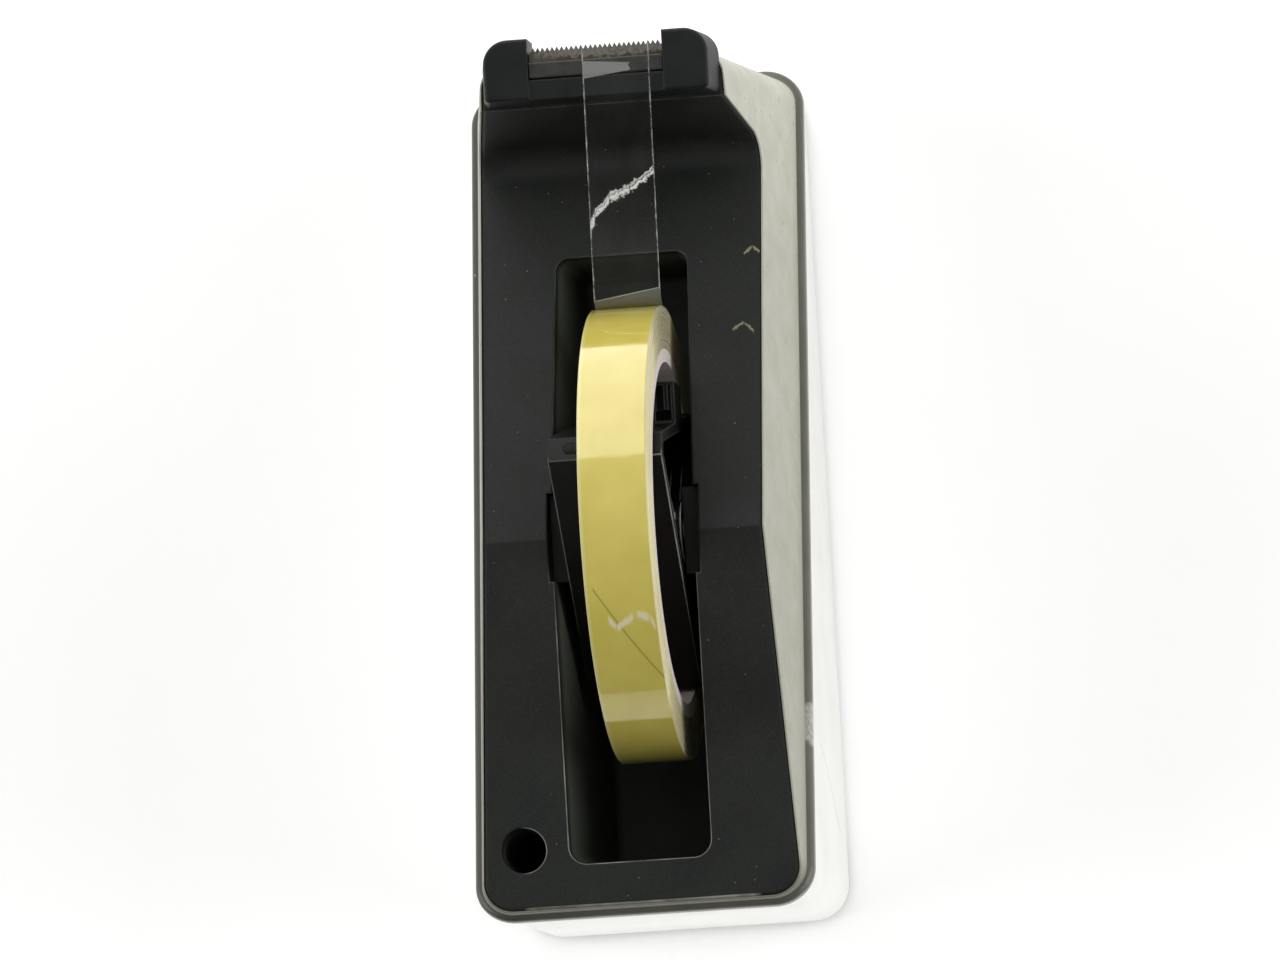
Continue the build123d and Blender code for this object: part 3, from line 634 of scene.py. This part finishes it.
def film_path(level):
    """Side view (y, z): off the roll in a small curl, level over the valley, flat to the teeth."""
    curl, curl_steps, level_steps, clamp_steps = 3.6 * MM, 8, 60, 12
    on_roll = roll_radius + 0.05 * MM
    lift = math.asin((level - curl - axle_z) / on_roll)
    leaves = (axle_y - on_roll * math.cos(lift), axle_z + on_roll * math.sin(lift))
    path = []
    for step in range(curl_steps + 1):
        turn = step / curl_steps * math.pi / 2
        path.append((leaves[0] - curl * (1 - math.cos(turn)), leaves[1] + curl * math.sin(turn)))
    on_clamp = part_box("blade_clamp")[1].z + 0.15 * MM
    lands, ends = (nose_rear, on_clamp), (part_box("blade")[0].y + 0.5 * MM, on_clamp)
    over_valley = straight_run(path[-1], lands, level_steps)
    return path + over_valley + straight_run(lands, ends, clamp_steps)


def film_mesh(low, high):
    """A grid along the path: gently waved, drifting to the right, its last row cut by the teeth."""
    columns, teeth = 60, 14
    wave_height, bite = 0.12 * MM, 0.35 * MM
    waves_across, waves_along = 180, 90
    from_side, drift = 0.5 * MM, 0.8 * MM
    path = film_path(low.z)
    mesh = bmesh.new()
    grid = []
    for number, (y, z) in enumerate(path):
        last = number == len(path) - 1
        line = []
        for column in range(columns + 1):
            across = column / columns
            side = high.x - (high.x - low.x) * across
            x = side - from_side - drift * number / (len(path) - 1)
            cut = bite * abs((across * teeth) % 1 - 0.5) if last else 0
            wave = noise.noise(Vector((x * waves_across, y * waves_along, 0))) * wave_height
            line.append(mesh.verts.new((x, y + cut, z + wave)))
        grid.append(line)
    for near, far in zip(grid, grid[1:]):
        for column in range(columns):
            mesh.faces.new((near[column], near[column + 1], far[column + 1], far[column]))
    bmesh.ops.recalc_face_normals(mesh, faces=mesh.faces)
    return mesh, columns


def film_strip():
    """The clear film as a piece, with the distance across it kept on its points."""
    low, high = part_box("tape_strip")
    width = high.x - low.x
    mesh, columns = film_mesh(low, high)
    strip = bpy.data.objects.new("clear_strip", bpy.data.meshes.new("clear_strip"))
    mesh.to_mesh(strip.data)
    mesh.free()
    strip.data.polygons.foreach_set("use_smooth", [True] * len(strip.data.polygons))
    across = strip.data.attributes.new("across", "FLOAT", "POINT")
    places = range(len(strip.data.vertices))
    across.data.foreach_set("value", [width * (n % (columns + 1)) / columns for n in places])
    strip.data.materials.append(clear_film(width))
    bpy.context.scene.collection.objects.link(strip)
    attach(strip, "axle_carrier")
    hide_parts("tape_strip")


# ---------------------------------------------------------------- the wound edges of the roll

def node_sizes(tree, sizes):
    """Names the tree's inputs and gives their first values; returns the group input's outputs."""
    for name, (kind, value) in sizes.items():
        socket = tree.interface.new_socket(name, in_out="INPUT", socket_type=kind)
        if value is not None:
            socket.default_value = value
    tree.interface.new_socket("Mesh", in_out="OUTPUT", socket_type="NodeSocketGeometry")
    return tree.nodes.new("NodeGroupInput").outputs


def wound_turns_tree():
    """Rings of film edge, each a little in or out of line with the next."""
    tree = bpy.data.node_groups.new("wound_turns", "GeometryNodeTree")
    size = node_sizes(tree, {
        "Turns": ("NodeSocketInt", 24),
        "Inner Radius": ("NodeSocketFloat", 41 * MM),
        "Outer Radius": ("NodeSocketFloat", 50 * MM),
        "Thread": ("NodeSocketFloat", 0.3 * MM),
        "Unevenness": ("NodeSocketFloat", 0.1 * MM),
        "Finish": ("NodeSocketMaterial", None),
    })

    def add(kind, values=None, **settings):
        """Adds a node with its settings and inputs; returns its main output."""
        node = tree.nodes.new(kind)
        for name, value in settings.items():
            setattr(node, name, value)
        for name, value in (values or {}).items():
            if isinstance(value, bpy.types.NodeSocket):
                tree.links.new(value, node.inputs[name])
            else:
                node.inputs[name].default_value = value
        return next(output for output in node.outputs if output.enabled)

    last = add("ShaderNodeMath", {0: size["Turns"], 1: 1.0}, operation="SUBTRACT")
    radius = add("ShaderNodeMapRange", {
        "Value": add("GeometryNodeInputIndex"), "From Max": last,
        "To Min": size["Inner Radius"], "To Max": size["Outer Radius"]})
    chance = add("FunctionNodeRandomValue", {"Max": 1.0, "Seed": 7}, data_type="FLOAT")
    rise = add("ShaderNodeMath", {0: chance, 1: size["Unevenness"]}, operation="MULTIPLY")
    offset = add("ShaderNodeCombineXYZ", {"Z": rise})
    places = add("GeometryNodePoints", {"Count": size["Turns"]})
    places = add("GeometryNodeSetPosition", {"Geometry": places, "Offset": offset})

    circle = "GeometryNodeCurvePrimitiveCircle"
    ring = add(circle, {"Resolution": 120, "Radius": 1.0}, mode="RADIUS")
    scale = add("ShaderNodeCombineXYZ", {"X": radius, "Y": radius, "Z": 1.0})
    on_places = {"Points": places, "Instance": ring, "Scale": scale}
    rings = add("GeometryNodeInstanceOnPoints", on_places)
    loops = add("GeometryNodeRealizeInstances", {"Geometry": rings})
    half = add("ShaderNodeMath", {0: size["Thread"], 1: 0.5}, operation="MULTIPLY")
    section = add(circle, {"Resolution": 6, "Radius": half}, mode="RADIUS")
    swept = add("GeometryNodeCurveToMesh", {"Curve": loops, "Profile Curve": section})
    solid = add("GeometryNodeRealizeInstances", {"Geometry": swept})
    finished = add("GeometryNodeSetMaterial", {"Geometry": solid, "Material": size["Finish"]})
    tree.links.new(finished, tree.nodes.new("NodeGroupOutput").inputs[0])
    return tree


def made_by_nodes(name, tree, values):
    """Runs a node tree with the given inputs and returns the result as a plain mesh object."""
    holder = bpy.data.objects.new("holder", bpy.data.meshes.new("holder"))
    bpy.context.scene.collection.objects.link(holder)
    maker = holder.modifiers.new("maker", "NODES")
    maker.node_group = tree
    for item in tree.interface.items_tree:
        if item.in_out == "INPUT" and item.name in values:
            maker[item.identifier] = values[item.name]
    ready = holder.evaluated_get(bpy.context.evaluated_depsgraph_get())
    mesh = bpy.data.meshes.new_from_object(ready)
    bpy.data.objects.remove(holder)
    mesh.name = name
    made = bpy.data.objects.new(name, mesh)
    bpy.context.scene.collection.objects.link(made)
    return made


def wound_edges():
    """The edges of the turns, which stand in fine steps on both sides of the roll."""
    core_low, core_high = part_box("tape_core")
    inner = (core_high.z - core_low.z) / 2
    turns, proud = 22, 0.04 * MM
    thread = (roll_radius - inner) / turns
    sunk = thread / 2 - proud
    tree = wound_turns_tree()
    values = {"Turns": turns, "Inner Radius": inner + thread / 2,
              "Outer Radius": roll_radius - thread * 0.6, "Thread": thread,
              "Unevenness": 0.14 * MM, "Finish": wound_finish}
    for side, face, outward in (("right", roll_low.x, -1), ("left", roll_high.x, 1)):
        edge = made_by_nodes("wound_edge_" + side, tree, values)
        turn = Matrix(((0, 0, outward), (outward, 0, 0), (0, 1, 0))).to_4x4()
        place = Matrix.Translation((face - outward * sunk, axle_y, axle_z))
        edge.data.transform(place @ turn)
        edge.data.polygons.foreach_set("use_smooth", [True] * len(edge.data.polygons))
        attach(edge, "reel")


film_strip()
wound_edges()


# ---------------------------------------------------------------- studio

def studio_floor():
    """A plain white table top, which looks whiter in sight and in gloss than it lights."""
    mesh = bpy.data.meshes.new("table_top")
    far = 6.0
    corners = [(-far, -far, 0), (far, -far, 0), (far, far, 0), (-far, far, 0)]
    mesh.from_pydata(corners, [], [(0, 1, 2, 3)])
    floor = bpy.data.objects.new("table_top", mesh)
    bpy.context.scene.collection.objects.link(floor)
    f = Finish("table_white", Roughness=0.9, Specular_IOR_Level=0.1)
    colour = f.blend(f.grain(0.3, 2), (0.93, 0.93, 0.925, 1), (0.95, 0.95, 0.945, 1))
    ray = f.tree.nodes.new("ShaderNodeLightPath").outputs
    seen = f.most(ray["Is Camera Ray"], ray["Is Glossy Ray"], ray["Is Transmission Ray"])
    f.give(f.shader, {"Base Color": colour, "Emission Color": (1, 1, 1, 1)})
    f.give(f.shader, {"Emission Strength": f.times(seen, 0.3)})
    mesh.materials.append(f.material)


def pale_room():
    """The world: white where the camera sees it, and as light brighter in front than behind."""
    world = bpy.data.worlds.new("pale_room")
    bpy.context.scene.world = world
    world.use_nodes = True
    add, join = world.node_tree.nodes.new, world.node_tree.links.new
    room = world.node_tree.nodes["Background"]
    room.inputs["Color"].default_value = (1, 1, 1, 1)
    towards = add("ShaderNodeSeparateXYZ")
    join(add("ShaderNodeTexCoord").outputs["Generated"], towards.inputs[0])
    dimmer_rear = add("ShaderNodeMapRange")
    for name, value in {"From Min": -0.9, "From Max": 0.75, "To Min": 0.82, "To Max": 0.1}.items():
        dimmer_rear.inputs[name].default_value = value
    join(towards.outputs["Y"], dimmer_rear.inputs["Value"])
    level = add("ShaderNodeMapRange")
    join(add("ShaderNodeLightPath").outputs["Is Camera Ray"], level.inputs["Value"])
    join(dimmer_rear.outputs[0], level.inputs["To Min"])
    join(level.outputs[0], room.inputs["Strength"])


def softbox(name, place, size, strength, upright=False):
    """An oblong lamp facing the object; strength is how bright its face looks, 1 being white."""
    width, height = size
    lamp = bpy.data.lights.new(name, "AREA")
    lamp.shape, lamp.size, lamp.size_y = "RECTANGLE", width, height
    lamp.energy = strength * math.pi * width * height
    holder = bpy.data.objects.new(name, lamp)
    holder.location = place
    aim = Vector((0, -place[1], 0)) if upright else (cad_low + cad_high) / 2 - Vector(place)
    holder.rotation_euler = aim.to_track_quat("-Z", "Y").to_euler()
    bpy.context.scene.collection.objects.link(holder)


def studio_light():
    """A pale room, a tall box in front, one at each side and a low strip close behind."""
    pale_room()
    softbox("front_box", (0.055, -0.36, 0.31), (0.15, 0.62), 1.8, upright=True)
    softbox("right_box", (-1.6, 0.0, 0.8), (1.3, 1.3), 2.25)
    softbox("left_box", (1.5, 0.0, 0.95), (1.2, 1.2), 2.1)
    softbox("rear_card", (0.0, 0.2, 0.015), (0.4, 0.03), 3.2)


def camera():
    """Long lens almost straight above, leaning to the rear and the right side, turned a little."""
    lean_right, lean_back, roll = (math.radians(angle) for angle in (7.09, 5.34, 3.91))
    distance, aim_height, aim_right, aim_up = 3.542, 60 * MM, 1.32 * MM, 0.64 * MM
    toward = Vector((-math.sin(lean_right), math.sin(lean_back) * math.cos(lean_right),
                     math.cos(lean_back) * math.cos(lean_right)))
    sideways = (Vector((-1, 0, 0)) + toward * toward.x).normalized()
    upward = toward.cross(sideways)
    right = sideways * math.cos(roll) - upward * math.sin(roll)
    up = sideways * math.sin(roll) + upward * math.cos(roll)
    place = Vector((0, 0, aim_height)) + right * aim_right + up * aim_up + toward * distance
    lens = bpy.data.cameras.new("camera")
    lens.sensor_width, lens.lens = 36.0, 445.5
    lens.clip_start, lens.clip_end = 0.1, 20.0
    holder = bpy.data.objects.new("camera", lens)
    axes = Matrix((right, up, toward)).transposed().to_4x4()
    holder.matrix_world = Matrix.Translation(place) @ axes
    bpy.context.scene.collection.objects.link(holder)
    bpy.context.scene.camera = holder


studio_floor()
studio_light()
camera()
bpy.context.scene.view_settings.view_transform = "Standard"
